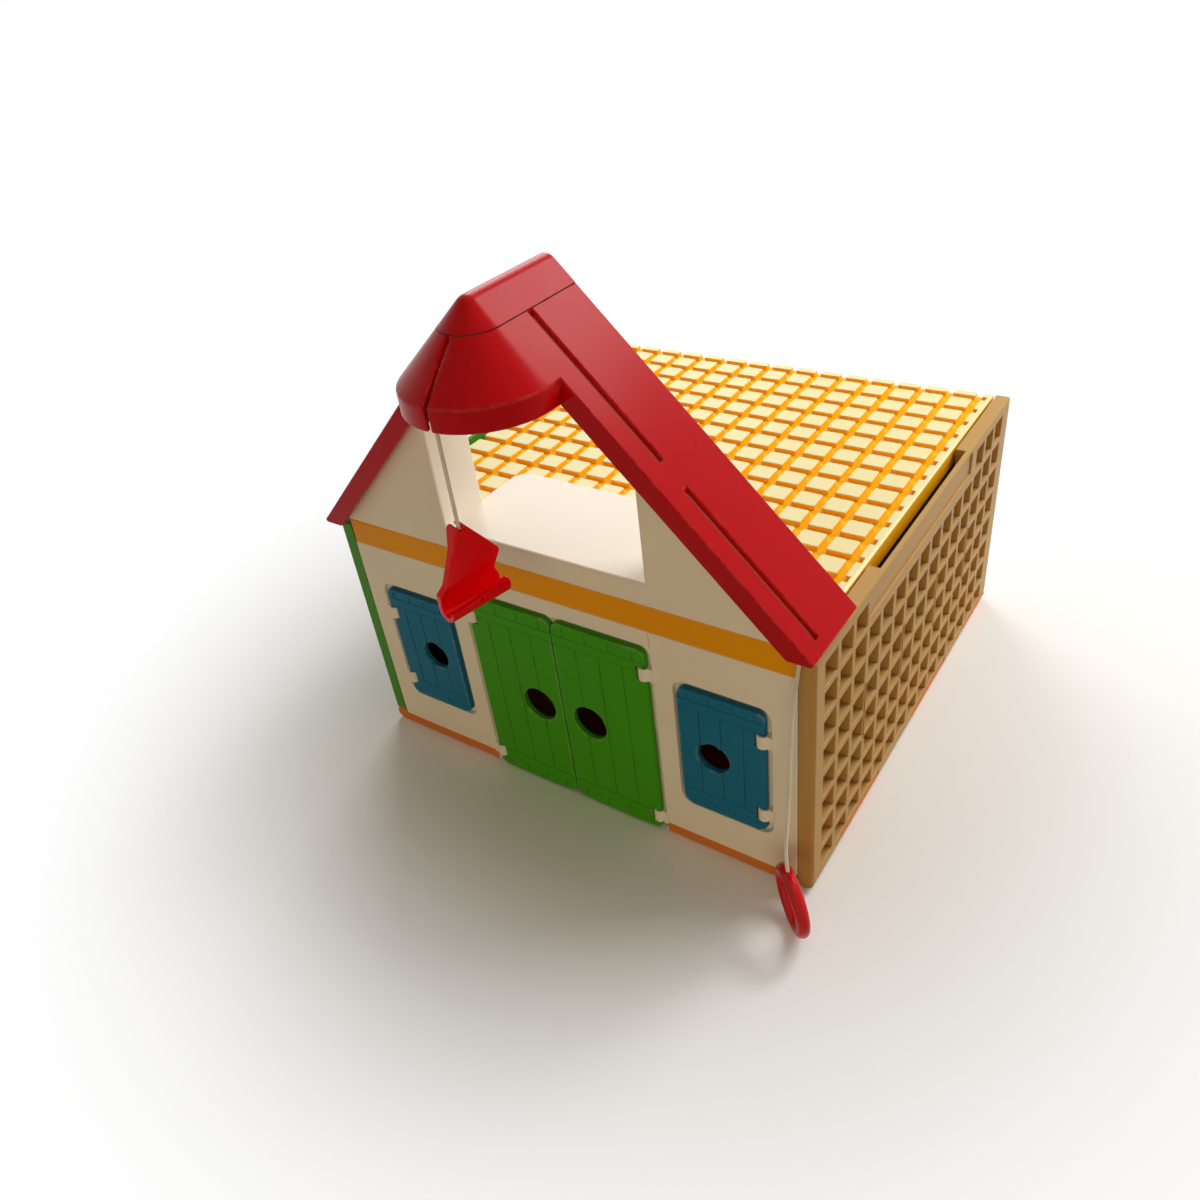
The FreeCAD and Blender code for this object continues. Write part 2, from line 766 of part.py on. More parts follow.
def cord_tube(name, points, radii=None):
    """A round cord along straight runs joined by tangent arcs."""
    corners = [V(*p) for p in points]
    edges = []
    last = corners[0]
    used = []
    for i in range(1, len(corners) - 1):
        before = corners[i] - corners[i - 1]
        after = corners[i + 1] - corners[i]
        half_turn = before.getAngle(after) / 2
        run = min(before.Length, after.Length)
        radius = radii[i - 1] if radii else cord_arc_share * run / math.tan(half_turn)
        reach = radius * math.tan(half_turn)
        enter = corners[i] - before.normalize() * reach
        leave = corners[i] + after.normalize() * reach
        inward = (after - before).normalize()
        middle = corners[i] + inward * (radius / math.cos(half_turn) - radius)
        edges.append(Part.makeLine(last, enter))
        edges.append(Part.Arc(enter, middle, leave).toShape())
        last = leave
        used.append(round(radius, 1))
    edges.append(Part.makeLine(last, corners[-1]))
    path = Part.Wire(edges)
    section = Part.Wire(Part.makeCircle(cord_diameter / 2, corners[0], corners[1] - corners[0]))
    tube = path.makePipeShell([section], True, False)
    expected = math.pi * cord_diameter ** 2 / 4 * path.Length
    print(name, "length", round(path.Length, 1), "radii", used, "volume share",
          round(tube.Volume / expected, 4))
    return tube


def hook_profile():
    """The hook's J section: thick head, thin web, round trough and lip. Origin at the cord slot."""
    head_back = hook_front_x - hook_head_thickness
    lip_top = hook_trough_z + hook_lip_far_rise
    points = [V(hook_front_x, 0, hook_head_rise), V(head_back, 0, hook_head_rise),
              V(-hook_front_x, 0, hook_head_rise - hook_head_taper),
              V(-hook_front_x, 0, hook_trough_z)]
    lines = [Part.makeLine(a, b) for a, b in zip(points, points[1:])]
    bottom = V(hook_outer_radius - hook_front_x, 0, -hook_height)
    outer = Part.Arc(points[-1], bottom, V(hook_lip_outer_x, 0, hook_trough_z)).toShape()
    lip = [V(hook_lip_outer_x, 0, hook_trough_z), V(hook_lip_outer_x, 0, lip_top),
           V(hook_lip_x, 0, lip_top), V(hook_lip_x, 0, hook_trough_z)]
    lip_lines = [Part.makeLine(a, b) for a, b in zip(lip, lip[1:])]
    inner_radius = hook_trough_gap / 2
    foot = V(hook_front_x, 0, hook_trough_z)
    trough = Part.Arc(lip[-1], V(hook_front_x + inner_radius, 0, hook_trough_z - inner_radius),
                      foot).toShape()
    web = Part.makeLine(foot, points[0])
    return Part.Face(Part.Wire(lines + [outer] + lip_lines + [trough, web]))


def place_hook(shape):
    """Hang a shape from the cord, tilted a little and turned on the cord."""
    shape.rotate(V(0, 0, 0), V(0, 1, 0), hook_tilt)
    shape.rotate(V(0, 0, 0), V(0, 0, 1), -hook_yaw)
    shape.translate(V(0, cord_drop_y, hook_slot_z))
    return shape


def edges_at(shape, x, y, z):
    """The edges whose middle lies at a place."""
    return [e for e in shape.Edges if (e.CenterOfMass - V(x, y, z)).Length < seam_gap]


def hook_bar():
    """The J section run along the trough, with the lip cut lower towards the near end."""
    reach = hook_wing_reach + overrun
    profile = hook_profile()
    profile.translate(V(0, -reach, 0))
    bar = profile.extrude(V(0, 2 * reach, 0))
    head = edges_at(bar, hook_front_x - hook_head_thickness, 0, hook_head_rise)
    bar = bar.makeFillet(hook_head_round, head)
    slope = (hook_lip_far_rise - hook_lip_near_rise) / (2 * hook_trough_half)
    level = hook_trough_z + (hook_lip_far_rise + hook_lip_near_rise) / 2
    top = hook_trough_z + hook_lip_far_rise + reach * slope
    x = hook_front_x + hook_trough_gap / 2
    corners = [V(x, -reach, level - reach * slope), V(x, reach, level + reach * slope),
               V(x, -reach, top)]
    wedge = Part.Face(Part.makePolygon(corners + corners[:1])).extrude(V(barn_width, 0, 0))
    return bar.cut(wedge)


def hook_hanger():
    """The hook's outline along the trough: straight on the near side, winged on the far side."""
    outline = [(hook_head_half, hook_head_rise), (hook_wing_reach, -hook_wing_drop),
               (hook_waist_reach, -hook_waist_drop), (hook_trough_half, -hook_far_end_drop),
               (hook_trough_half, -hook_height - overrun),
               (-hook_trough_half, -hook_height - overrun),
               (-hook_trough_half, -hook_near_end_drop), (-hook_neck_reach, -hook_neck_drop),
               (-hook_head_half, hook_head_rise)]
    corners = [V(-barn_width, y, z) for y, z in outline]
    hanger = Part.Face(Part.makePolygon(corners + corners[:1])).extrude(V(2 * barn_width, 0, 0))
    rounds = [(hook_wing_round, hook_wing_reach, -hook_wing_drop),
              (hook_waist_round, hook_waist_reach, -hook_waist_drop),
              (hook_waist_round, -hook_neck_reach, -hook_neck_drop)]
    for radius, y, z in rounds:
        hanger = hanger.makeFillet(radius, edges_at(hanger, 0, y, z))
    return hanger


def hay_hook():
    hook = hook_bar().common(hook_hanger())
    half_slot = hook_slot_width / 2
    slot_bottom = knot_radius - knot_room - hook_knot_drop
    slot = box(-barn_width, barn_width, -half_slot, half_slot, slot_bottom,
               hook_head_rise + overrun)
    pocket = Part.makeCylinder(knot_radius + knot_room, barn_width,
                               V(hook_front_x - knot_cover, 0, -hook_knot_drop), V(-1, 0, 0))
    lip_hole_z = hook_trough_z + hook_lip_hole_rise
    dimple = Part.makeCylinder(hook_lip_hole, barn_width,
                               V(hook_front_x + hook_trough_gap / 2, 0, lip_hole_z), V(1, 0, 0))
    return place_hook(hook.cut(slot).cut(pocket).cut(dimple))


def hook_knot():
    x = hook_front_x - knot_cover - knot_radius - knot_room
    return place_hook(Part.makeSphere(knot_radius, V(x, 0, -hook_knot_drop)))


def ring_frame():
    """The ring's centre, its axis, and the direction from the centre to its cord hole."""
    yaw = math.radians(ring_yaw)
    tilt = math.radians(ring_tilt)
    axis = V(math.cos(yaw) * math.cos(tilt), math.sin(yaw) * math.cos(tilt), math.sin(tilt))
    up = V(0, 0, 1) - axis * axis.z
    up.normalize()
    centre_z = floor_gap + ring_tube_radius + ring_radius * up.z
    outward = FreeCAD.Rotation(axis, -ring_cord_angle).multVec(up)
    return V(ring_x, front_y - ring_y, centre_z), axis, outward


def ring_place(distance):
    """A point on the line from the ring's centre through its cord hole."""
    centre, axis, outward = ring_frame()
    return centre + outward * distance


def pull_ring():
    centre, axis, outward = ring_frame()
    ring = Part.makeTorus(ring_radius, ring_tube_radius, centre, axis)
    hole_radius = cord_diameter / 2 + cord_fit
    hole = Part.makeCylinder(hole_radius, ring_radius, ring_place(ring_radius / 2), outward)
    return ring.cut(hole)


def ring_knot():
    distance = ring_radius - ring_tube_radius - knot_radius - ring_knot_gap
    return Part.makeSphere(knot_radius, ring_place(distance))


def cord_hook_drop():
    foot = hook_slot_z - hook_knot_drop + knot_radius
    return Part.makeCylinder(cord_diameter / 2, roof_run_points[0][2] - foot,
                             V(0, cord_drop_y, foot), V(0, 0, 1))


# Write every piece

save("base_floor", base_floor())
save("front_wall", front_wall())
save("back_wall", back_wall())
save("deck", deck())
save("gable_frame", gable_frame())
save("loft_shelf", loft_shelf())
save("roof_right", roof_right())
save("roof_left", roof_left())
save("ridge_cap", ridge_cap())
save("flap_right", flap_right())
save("flap_left", half_turned(flap_right()))
save("door_right", leaf_solid(door))
save("door_left", mirrored(leaf_solid(door)))
save("shutter_right", leaf_solid(shutter))
save("shutter_left", mirrored(leaf_solid(shutter)))
save("hoist_peg", hoist_peg())
save("hay_hook", hay_hook())
save("hook_knot", hook_knot())
save("pull_ring", pull_ring())
save("ring_knot", ring_knot())
save("cord_hook_drop", cord_hook_drop())
save("cord_roof_run", cord_tube("cord_roof_run", roof_run_points, roof_run_radii))
save("cord_ring_drop", cord_tube("cord_ring_drop", ring_drop_points))
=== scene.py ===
# %% [markdown]
# # A toy barn in moulded plastic
# The barn is a play set: a tray, a front and a back wall, a loft deck and a hooded roof, with
# doors, shutters and two lattice sides that swing, and a cord hoist with a hook and a pull ring.
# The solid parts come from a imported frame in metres, so every piece here starts from its place
# in that frame and only gets its looks: rounded mould edges, finishes, cords and light.

# %% Load the barn's frame
import json
import math

import bmesh
import bpy
from mathutils import Matrix, Vector
from mathutils.geometry import intersect_point_line

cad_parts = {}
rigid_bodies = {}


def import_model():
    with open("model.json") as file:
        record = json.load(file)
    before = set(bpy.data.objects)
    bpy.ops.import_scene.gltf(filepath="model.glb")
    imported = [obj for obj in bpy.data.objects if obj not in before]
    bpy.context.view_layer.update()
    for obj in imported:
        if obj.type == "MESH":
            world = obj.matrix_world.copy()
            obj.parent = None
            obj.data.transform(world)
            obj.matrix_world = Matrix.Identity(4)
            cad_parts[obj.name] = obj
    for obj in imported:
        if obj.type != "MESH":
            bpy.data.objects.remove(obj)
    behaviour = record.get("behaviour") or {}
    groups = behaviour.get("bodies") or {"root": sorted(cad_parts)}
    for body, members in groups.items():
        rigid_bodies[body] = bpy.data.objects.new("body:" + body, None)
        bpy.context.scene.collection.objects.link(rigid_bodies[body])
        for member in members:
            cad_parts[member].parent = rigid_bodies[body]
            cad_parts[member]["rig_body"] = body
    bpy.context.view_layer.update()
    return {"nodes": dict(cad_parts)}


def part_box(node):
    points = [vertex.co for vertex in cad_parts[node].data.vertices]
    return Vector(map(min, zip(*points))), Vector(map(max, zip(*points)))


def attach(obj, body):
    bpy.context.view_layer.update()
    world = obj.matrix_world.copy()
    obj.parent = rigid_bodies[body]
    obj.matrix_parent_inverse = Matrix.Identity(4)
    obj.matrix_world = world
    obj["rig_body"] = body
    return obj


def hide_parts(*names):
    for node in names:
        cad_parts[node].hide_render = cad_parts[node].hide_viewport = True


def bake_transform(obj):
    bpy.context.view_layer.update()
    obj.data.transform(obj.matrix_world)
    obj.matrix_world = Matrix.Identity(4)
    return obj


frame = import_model()
nodes = frame["nodes"]
millimetre = 0.001

# %% [markdown]
# ## The camera
# The barn is seen from in front of its right corner and from above, with the camera a little
# tilted. Three angles say that better than a tracked target would, because the tilt is part of
# the picture: the camera's own axes are built from them and written into its matrix.

# %% Place the camera
camera_azimuth = math.radians(38.562)
camera_elevation = math.radians(35.278)
camera_roll = math.radians(-7.926)
camera_place = Vector((0.28454, -0.45736, 0.43649))
backward = Vector((math.sin(camera_azimuth) * math.cos(camera_elevation),
                   -math.cos(camera_azimuth) * math.cos(camera_elevation),
                   math.sin(camera_elevation)))
rightward = Vector((math.cos(camera_azimuth), math.sin(camera_azimuth), 0))
upward = backward.cross(rightward)
level_axes = Matrix((rightward, upward, backward)).transposed()
camera_axes = level_axes @ Matrix.Rotation(camera_roll, 3, "Z")
camera_lens = bpy.data.cameras.new("camera")
camera_lens.sensor_width = 36.0
camera_lens.lens = 29.74
camera_lens.clip_start = 0.01
camera = bpy.data.objects.new("camera", camera_lens)
camera.matrix_world = Matrix.Translation(camera_place) @ camera_axes.to_4x4()
bpy.context.scene.collection.objects.link(camera)
bpy.context.scene.camera = camera
print("camera at", [round(value, 3) for value in camera.location])

# %% [markdown]
# ## The hoist cord
# One thin white braid runs from the hook over a peg in the hood, under the right slope of the
# roof and down to the ring. It is three pieces here, and only its middle, in the roof, is
# attached to the barn. Each follows a NURBS line that a few points steer, so it bends as a limp
# cord does; points sampled on arcs would look like bent wire.

# %% Routes of the cord
hook_drop_route = [(0, -0.1934, 0.264), (0, -0.1934, 0.247), (0, -0.1934, 0.2305),
                   (0, -0.1934, 0.214)]
roof_run_route = [(0, -0.1934, 0.264), (0, -0.1934, 0.2751), (0.0015, -0.172, 0.2754),
                  (0.03, -0.1474, 0.2738), (0.1435, -0.1474, 0.1603),
                  (0.1433, -0.1484, 0.1554)]
ring_drop_route = [(0.1433, -0.1484, 0.1554), (0.1426, -0.152, 0.138), (0.1426, -0.156, 0.112),
                   (0.1436, -0.1596, 0.086), (0.1441, -0.1632, 0.062),
                   (0.1443, -0.166, 0.0473), (0.1465, -0.167, 0.0346)]


def smooth_line(route, resolution):
    """Points read along a NURBS line that the route controls."""
    curve = bpy.data.curves.new("route", "CURVE")
    curve.dimensions = "3D"
    spline = curve.splines.new("NURBS")
    spline.points.add(len(route) - 1)
    for point, place in zip(spline.points, route):
        point.co = (*place, 1)
    spline.order_u = 3
    spline.use_endpoint_u = True
    spline.resolution_u = resolution
    holder = bpy.data.objects.new("route", curve)
    line = bpy.data.meshes.new_from_object(holder)
    places = [vertex.co.copy() for vertex in line.vertices]
    bpy.data.objects.remove(holder)
    bpy.data.meshes.remove(line)
    return places


def line_length(places):
    """How long a row of points is."""
    return sum((b - a).length for a, b in zip(places, places[1:]))


hook_drop_line = smooth_line(hook_drop_route, resolution=130)
roof_run_line = smooth_line(roof_run_route, resolution=150)
ring_drop_line = smooth_line(ring_drop_route, resolution=120)
print("hook drop:", round(line_length(hook_drop_line), 4), "m")
print("roof run:", round(line_length(roof_run_line), 4), "m")
print("ring drop:", round(line_length(ring_drop_line), 4), "m")

# %% [markdown]
# A bump map could fake the braid, but the cord hangs in front of the wall where its edge shows.
# So the strands are real: four wind one way round a core and four the other way, and each rises
# over one neighbour and dips under the next. Every strand is a row of points in a bevelled curve.

# %% Braid strands round a line
strands_each_way = 4
strand_radius = 0.27 * millimetre
strand_ring = 0.65 * millimetre
strand_rise = 0.08 * millimetre
core_radius = 0.6 * millimetre
strand_turn = 1.3 / millimetre


def line_frames(places):
    """The point, a side direction and an across direction at each step, without twist."""
    side = Vector((1, 0, 0))
    frames = []
    for number, place in enumerate(places):
        ahead = places[min(number + 1, len(places) - 1)]
        behind = places[max(number - 1, 0)]
        along = (ahead - behind).normalized()
        side = (side - along * side.dot(along)).normalized()
        frames.append((place, side.copy(), along.cross(side)))
    return frames


def add_strand(curve, places, thickness):
    """One round strand in a bevelled curve."""
    spline = curve.splines.new("POLY")
    spline.points.add(len(places) - 1)
    for point, place in zip(spline.points, places):
        point.co = (*place, 1)
        point.radius = thickness / strand_radius


def curve_piece(name, curve):
    """Turn a bevelled curve into a mesh piece at the origin."""
    curve.dimensions = "3D"
    curve.bevel_depth = strand_radius
    curve.bevel_resolution = 1
    curve.use_fill_caps = True
    holder = bpy.data.objects.new(name + "_curve", curve)
    mesh = bpy.data.meshes.new_from_object(holder)
    mesh.name = name
    bpy.data.objects.remove(holder)
    for face in mesh.polygons:
        face.use_smooth = True
    piece = bpy.data.objects.new(name, mesh)
    bpy.context.scene.collection.objects.link(piece)
    return piece


def braided_cord(name, places):
    """A braid of strands round a core that follows the places."""
    curve = bpy.data.curves.new(name, "CURVE")
    add_strand(curve, places, core_radius)
    frames = line_frames(places)
    for way in (1, -1):
        for number in range(strands_each_way):
            travelled = 0
            last = places[0]
            strand = []
            for place, side, across in frames:
                travelled += (place - last).length
                last = place
                angle = math.tau * number / strands_each_way + way * strand_turn * travelled
                wave = math.cos(strands_each_way * strand_turn * travelled)
                out = strand_ring + way * strand_rise * wave
                strand.append(place + (side * math.cos(angle) + across * math.sin(angle)) * out)
            add_strand(curve, strand, strand_radius)
    piece = curve_piece(name, curve)
    print(name, "faces:", len(piece.data.polygons))
    return piece


# %% Make the three stretches
hook_drop = braided_cord("hook_cord", hook_drop_line)
roof_run = braided_cord("roof_cord", roof_run_line)
ring_drop = braided_cord("ring_cord", ring_drop_line)
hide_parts("cord_hook_drop")
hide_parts("cord_roof_run")
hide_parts("cord_ring_drop")
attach(roof_run, "barn")
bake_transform(hook_drop)
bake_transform(ring_drop)

# %% [markdown]
# The cord is held by a knot at each end, behind the hook's slot and inside the ring. A knot is a
# cord that goes round itself, so a three-lobed loop pulled into the frame's knot ball reads as
# one from every side, which a plain ball would not.

# %% Tie the knots
knot_strand = 0.78 * millimetre
knot_points = 15


def knot(name, node):
    """A three-lobed knot in the place of a knot node."""
    low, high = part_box(node)
    centre = (low + high) / 2
    reach = (high.x - low.x) / 2 - knot_strand
    curve = bpy.data.curves.new(name, "CURVE")
    spline = curve.splines.new("NURBS")
    spline.points.add(knot_points - 1)
    for number, point in enumerate(spline.points):
        turn = math.tau * number / knot_points
        lobe = Vector((math.sin(turn) + 2 * math.sin(2 * turn),
                       math.cos(turn) - 2 * math.cos(2 * turn), -1.6 * math.sin(3 * turn))) / 3
        point.co = (*(centre + lobe * reach), 1)
        point.radius = knot_strand / strand_radius
    spline.use_cyclic_u = True
    spline.order_u = 3
    spline.resolution_u = 6
    piece = curve_piece(name, curve)
    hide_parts(node)
    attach(piece, nodes[node]["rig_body"])
    print(name, "across:", round(2 * reach / millimetre, 2), "mm")
    return piece


hook_end_knot = knot("hook_cord_knot", "hook_knot")
ring_end_knot = knot("ring_cord_knot", "ring_knot")
cord_pieces = [hook_drop, roof_run, ring_drop, hook_end_knot, ring_end_knot]

# %% [markdown]
# ## Mould edges
# Every plastic part leaves its mould with small rounds, and those rounds catch the light. The
# frame's nodes have sharp corners, so each one is copied, its loose triangles are merged and
# flattened into whole faces, and its outward edges are bevelled. Edges that border a strip too
# narrow for the round are left alone, and so is the seam of the loft shelf, where two parts lie
# flush. The seam of the ridge cap gets only a hairline round. The new faces are marked as edges
# for the finishes.
#
# A mesh face can't have a hole, so a flat face with holes is first cut straight through their
# middles. The cuts meet the edges squarely, so a bevel slides along them and nothing folds.

# %% Cut flat faces through their holes
flat_angle = math.radians(0.6)
merge_reach = 0.06 * millimetre
cut_reach = 0.01 * millimetre
same_plane = 0.1 * millimetre


def flat_regions(shell):
    """Groups of joined faces that lie in one plane."""
    seen = set()
    regions = []
    for first in shell.faces:
        if first in seen:
            continue
        seen.add(first)
        region = [first]
        for face in region:
            for edge in face.edges:
                for beside in edge.link_faces:
                    if beside not in seen and beside.normal.angle(first.normal, 0) < flat_angle:
                        seen.add(beside)
                        region.append(beside)
        regions.append(region)
    return regions


def spread(places):
    """How far a group of points reaches along each axis."""
    return Vector([max(axis) - min(axis) for axis in zip(*places)])


def rim_loops(region):
    """The corner points of each closed line round a flat region, the longest line first."""
    inside = set(region)
    beside = {}
    for face in region:
        for edge in face.edges:
            if sum(other in inside for other in edge.link_faces) == 1:
                for vertex in edge.verts:
                    beside.setdefault(vertex, []).append(edge.other_vert(vertex))
    loops = []
    seen = set()
    for first in beside:
        if first in seen:
            continue
        seen.add(first)
        loop = [first]
        for vertex in loop:
            for other in beside[vertex]:
                if other not in seen:
                    seen.add(other)
                    loop.append(other)
        loops.append([vertex.co.copy() for vertex in loop])
    return sorted(loops, key=lambda places: -spread(places).length)


def open_holes(shell):
    """Cut each flat face through the middles of its holes and mark the cuts as seams."""
    shell.normal_update()
    cuts = []
    for region in flat_regions(shell):
        normal = region[0].normal.copy()
        loops = rim_loops(region) if len(region) > 1 else []
        level = Vector((0, 0, 1)) if abs(normal.z) < 0.9 else Vector((0, 1, 0))
        across = (level - normal * level.dot(normal)).normalized()
        for hole in loops[1:]:
            middle = (Vector(map(min, zip(*hole))) + Vector(map(max, zip(*hole)))) / 2
            row = (normal, round(middle.dot(normal), 4), round(middle.dot(across), 4))
            if all(row[1:] != other[1:] or row[0].angle(other[0]) > flat_angle
                   for other, place, way in cuts):
                cuts.append((row, middle, across))
    for row, middle, across in cuts:
        normal = row[0]
        faces = [face for face in shell.faces if face.normal.angle(normal, 0) < flat_angle
                 and abs((face.calc_center_median() - middle).dot(normal)) < same_plane]
        edges = {edge: None for face in faces for edge in face.edges}
        verts = {vertex: None for face in faces for vertex in face.verts}
        made = bmesh.ops.bisect_plane(shell, geom=[*faces, *edges, *verts], dist=cut_reach,
                                      plane_co=middle, plane_no=across)
        for part in made["geom_cut"]:
            if isinstance(part, bmesh.types.BMEdge):
                part.seam = True


def merged_copy(node):
    """A node's mesh with its triangles joined into whole faces."""
    shell = bmesh.new()
    shell.from_mesh(nodes[node].data)
    bmesh.ops.remove_doubles(shell, verts=shell.verts, dist=merge_reach)
    bmesh.ops.dissolve_degenerate(shell, edges=shell.edges, dist=cut_reach)
    open_holes(shell)
    bmesh.ops.dissolve_limit(shell, angle_limit=flat_angle, verts=shell.verts,
                             edges=shell.edges, delimit={"SEAM"})
    return shell


print("corners nearer than", merge_reach / millimetre, "mm are merged")

# %% [markdown]
# Not every sharp edge can be rounded. Two rounds need twice their size between them, so an edge is
# measured against those that face it across its two faces. A limit on the bevel itself would do
# less: it shrinks all the rounds of a piece to suit the narrowest place.

# %% Choose the edges to round
sharp_angle = math.radians(32)
facing_edges = -0.3
room_for_rounds = 2.1


def edge_gap(edge, other):
    """The least distance between two edges, from their ends and middles."""
    gaps = []
    for line, points in ((edge, other), (other, edge)):
        first, second = (vertex.co for vertex in line.verts)
        start, stop = (vertex.co for vertex in points.verts)
        for place in (start, (start + stop) / 2, stop):
            nearest, share = intersect_point_line(place, first, second)
            gaps.append((first.lerp(second, min(max(share, 0), 1)) - place).length)
    return min(gaps)


def has_room(edge, size):
    """True where no edge that faces this one, across either face, is nearer than two rounds."""
    for side in edge.link_loops:
        along = (side.link_loop_next.vert.co - side.vert.co).normalized()
        for loop in side.face.loops:
            back = (loop.link_loop_next.vert.co - loop.vert.co).normalized()
            apart = not set(loop.edge.verts) & set(edge.verts)
            facing = apart and back.dot(along) < facing_edges
            if facing and edge_gap(edge, loop.edge) < room_for_rounds * size:
                return False
    return True


def outward_edges(shell, size):
    """The sharp outward edges that have room for a round."""
    return [edge for edge in shell.edges
            if len(edge.link_faces) == 2 and edge.is_convex
            and edge.calc_face_angle(0) > sharp_angle and has_room(edge, size)]


print("edges over", round(math.degrees(sharp_angle)), "degrees are rounded")

# %% [markdown]
# The rounds are bevels of a few steps. Where two of them meet on a strip that is as narrow as they
# are, the strip may cross over itself, so its short sides are drawn together. Weighted normals then
# keep the large faces flat to the eye, with the turn of the light only in the rounds.

# %% Round the edges and finish a piece
smooth_angle = math.radians(38)
fold_width = 0.75 * millimetre
seam_width = 0.5 * millimetre
seam_round = 0.25 * millimetre


def round_edges(shell, edges, size, steps):
    """Bevel some edges and mark the new faces."""
    mark = shell.faces.layers.float.get("edge") or shell.faces.layers.float.new("edge")
    made = bmesh.ops.bevel(shell, geom=edges, offset=size, offset_type="OFFSET",
                           affect="EDGES", segments=steps, profile=0.5, material=-1,
                           clamp_overlap=False)
    for face in made["faces"]:
        face[mark] = 1.0


def close_folds(shell):
    """Collapse the two short sides of each narrow strip that a round has folded over."""
    sides = {}
    for face in shell.faces:
        if len(face.verts) == 4:
            a, b, c, d = (vertex.co for vertex in face.verts)
            if (b - a).cross(c - a).dot((c - a).cross(d - a)) < 0:
                short = sorted(face.edges, key=lambda edge: edge.calc_length())[:2]
                if short[1].calc_length() < fold_width:
                    sides.update(dict.fromkeys(short))
    bmesh.ops.collapse(shell, edges=list(sides))
    return len(sides) // 2


def finished_piece(name, shell, node):
    """Write a shell to a smooth-shaded object that stands for its node."""
    mesh = bpy.data.meshes.new(name)
    shell.to_mesh(mesh)
    shell.free()
    mesh.shade_smooth()
    mesh.set_sharp_from_angle(angle=smooth_angle)
    piece = bpy.data.objects.new(name, mesh)
    bpy.context.scene.collection.objects.link(piece)
    flat = piece.modifiers.new("flat_faces", "WEIGHTED_NORMAL")
    flat.keep_sharp = True
    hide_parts(node)
    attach(piece, nodes[node]["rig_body"])
    return piece


def on_seam(edge, levels):
    """True where an edge lies at a level of each given axis."""
    return all(abs(vertex.co[axis] - level) < seam_width
               for vertex in edge.verts for axis, level in levels.items())


def moulding(node, size, steps=3, seam=None, open_seam=False):
    """A node's copy with its outward edges rounded alike, but for a flush or thin open seam."""
    shell = merged_copy(node)
    edges = [edge for edge in outward_edges(shell, size)
             if not (seam and on_seam(edge, seam))]
    round_edges(shell, edges, size, steps)
    if open_seam:
        lips = [edge for edge in outward_edges(shell, seam_round) if on_seam(edge, seam)]
        round_edges(shell, lips, seam_round, steps=2)
        print(node, "seam edges:", len(lips))
    print(node, "folds closed:", close_folds(shell))
    piece = finished_piece(node + "_moulding", shell, node)
    print(piece.name, "rounded:", len(edges), "faces:", len(piece.data.polygons))
    return piece


# %% [markdown]
# The walls, the tray and the roof are plain mouldings with one size of round each: thin walls have
# a fine one, and the shelf and the roof a softer one. Separate sizes follow the real parts better
# than one size for the whole barn.

# %% Walls, tray, shelf and roof
seam_level = 296.7 * millimetre
shelf_seam = {1: -113.5 * millimetre, 2: 171.0 * millimetre}
cap_seam = {2: seam_level}
cream_pieces = [moulding("front_wall", 0.5 * millimetre),
                moulding("back_wall", 0.6 * millimetre),
                moulding("gable_frame", 0.8 * millimetre, seam=shelf_seam),
                moulding("loft_shelf", 0.9 * millimetre, seam=shelf_seam)]
tray = moulding("base_floor", 0.5 * millimetre)
roof_pieces = [moulding("roof_right", 0.8 * millimetre, seam=cap_seam, open_seam=True),
               moulding("roof_left", 0.8 * millimetre, seam=cap_seam, open_seam=True),
               moulding("ridge_cap", 0.4 * millimetre, seam=cap_seam, open_seam=True),
               moulding("hoist_peg", 0.4 * millimetre)]

# %% [markdown]
# The doors and shutters have two kinds of edge: a soft outline that a child's finger meets, and
# crisp plank grooves. The outline's side faces run through the whole leaf and the grooves' do
# not, so the depth of the faces beside an edge tells the two apart.

# %% Doors and shutters
leaf_outline_round = 1.1 * millimetre
leaf_groove_round = 0.2 * millimetre
leaf_side_depth = 1.6 * millimetre


def face_depth(face):
    """How far a face reaches from front to back."""
    depths = [vertex.co.y for vertex in face.verts]
    return max(depths) - min(depths)


def leaf(node):
    """A door or shutter with a soft outline and crisp grooves."""
    shell = merged_copy(node)
    outline = [edge for edge in outward_edges(shell, leaf_outline_round)
               if any(face_depth(face) > leaf_side_depth for face in edge.link_faces)]
    round_edges(shell, outline, leaf_outline_round, steps=4)
    grooves = outward_edges(shell, leaf_groove_round)
    round_edges(shell, grooves, leaf_groove_round, steps=2)
    piece = finished_piece(node + "_leaf", shell, node)
    print(piece.name, "outline:", len(outline), "grooves:", len(grooves))
    return piece


door_pieces = [leaf("door_right"), leaf("door_left")]
shutter_pieces = [leaf("shutter_right"), leaf("shutter_left")]

# %% [markdown]
# The loft deck is a field of square pads. Their upright corners are rounder than their rims, so
# the corners are rounded first and the rims after them, as a mould maker would cut them.

# %% Loft deck
pad_corner_round = 1.3 * millimetre
pad_rim_round = 0.7 * millimetre


def is_upright(edge):
    """True for an edge that runs straight up."""
    first, second = edge.verts
    return abs(first.co.z - second.co.z) > 0.9 * edge.calc_length()


deck_shell = merged_copy("deck")
pad_corners = [edge for edge in outward_edges(deck_shell, pad_corner_round) if is_upright(edge)]
round_edges(deck_shell, pad_corners, pad_corner_round, steps=3)
pad_rims = outward_edges(deck_shell, pad_rim_round)
round_edges(deck_shell, pad_rims, pad_rim_round, steps=3)
deck_piece = finished_piece("deck_moulding", deck_shell, "deck")
print("deck corners:", len(pad_corners), "rims:", len(pad_rims),
      "faces:", len(deck_piece.data.polygons))

# %% [markdown]
# The lattice sides have hundreds of pocket rims, so their rounds have only two steps. The hook is
# seen from close by and gets four. The ring is round already, and only the rims of its cord hole
# are softened.

